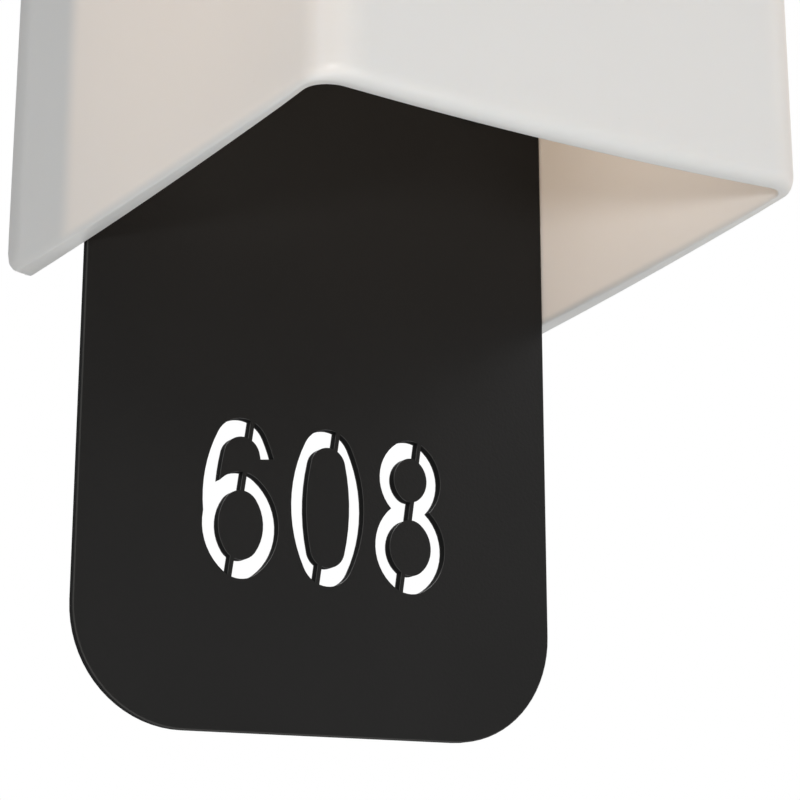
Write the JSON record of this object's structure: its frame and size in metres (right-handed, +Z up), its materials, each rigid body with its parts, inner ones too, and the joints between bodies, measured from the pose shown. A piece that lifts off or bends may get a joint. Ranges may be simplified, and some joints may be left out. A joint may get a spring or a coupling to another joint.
{
  "type": "illuminated house number sign",
  "caption": "Wall light with a U-shaped opal shade over a lamp and a black plate with cut-through numerals hanging below.",
  "frame": {"origin": "centre of the wall plate's slot pattern, on the wall plane", "axes": "+Y into the wall, -Y is the front, +Z up, +X to the viewer's right"},
  "size_m": [0.2104, 0.1875, 0.355],
  "materials": {
    "opal_shade": "satin opal, glows warm where the lamp is",
    "black_coat": "satin black powder coat",
    "black_housing": "satin black powder coat",
    "zinc_steel": "zinc plated",
    "screw_steel": "zinc plated",
    "dark_screw": "blackened steel",
    "knob_metal": "satin black",
    "silicone": "translucent silicone",
    "foam_rubber": "closed-cell foam",
    "black_rubber": "matt rubber",
    "terminal_nylon": "natural nylon",
    "brass_screw": "plain brass",
    "flex_sheath": "round black sheath",
    "holder_plastic": "moulded thermoset",
    "holder_ceramic": "unglazed steatite",
    "shell_brass": "plain brass",
    "lamp_metal": "nickel plated",
    "lamp_black_glass": "black glass",
    "lamp_plastic": "white moulded",
    "lamp_opal": "opal, lit warm white"
  },
  "bodies": {
    "wall_unit": {"number_plate": "black_coat", "plate_screws": "dark_screw", "shade_hook_left": "zinc_steel", "shade_hook_right": "zinc_steel", "hook_screws": "screw_steel", "rear_housing": "black_housing", "wall_gasket": "foam_rubber", "wall_plate": "zinc_steel", "housing_screws": "dark_screw", "cable_grommet": "black_rubber", "terminal_block": "terminal_nylon", "terminal_screws": "brass_screw", "terminal_fixing": "screw_steel", "earth_screw": "brass_screw", "earth_washer": "brass_screw", "lamp_flex": "flex_sheath", "flex_grommet": "black_rubber", "lamp_bracket": "black_housing", "bracket_screws": "dark_screw", "nipple": "zinc_steel", "nipple_nut": "zinc_steel", "holder_cap": "holder_plastic", "holder_body": "holder_plastic", "holder_insert": "holder_ceramic", "holder_shell": "shell_brass", "centre_contact": "shell_brass"},
    "shade_unit": {"shade": "opal_shade", "inner_pads": "silicone", "outer_pads": "silicone", "clamp_nuts": "zinc_steel"},
    "thumb_left": {"thumb_screw_left": "knob_metal"},
    "thumb_right": {"thumb_screw_right": "knob_metal"},
    "lamp": {"lamp_contact": "lamp_metal", "lamp_insulator": "lamp_black_glass", "lamp_cap": "lamp_metal", "lamp_collar": "lamp_plastic", "lamp_globe": "lamp_opal"}
  },
  "joints": [
    {"name": "shade_lift", "type": "slide", "parent": "wall_unit", "child": "shade_unit", "axis": [0, 0, 1], "range_m": [0, 0.2]},
    {"name": "thumb_left_turn", "type": "hinge", "parent": "shade_unit", "child": "thumb_left", "pos_m": [-0.09075, -0.026, 0.04], "axis": [-0.9961, -0.088, 0], "continuous": true},
    {"name": "thumb_right_turn", "type": "hinge", "parent": "shade_unit", "child": "thumb_right", "pos_m": [0.09075, -0.026, 0.04], "axis": [0.9961, -0.088, 0], "continuous": true},
    {"name": "lamp_turn", "type": "hinge", "parent": "wall_unit", "child": "lamp", "pos_m": [0, -0.114, 0], "axis": [0, 0, 1], "continuous": true}
  ]
}
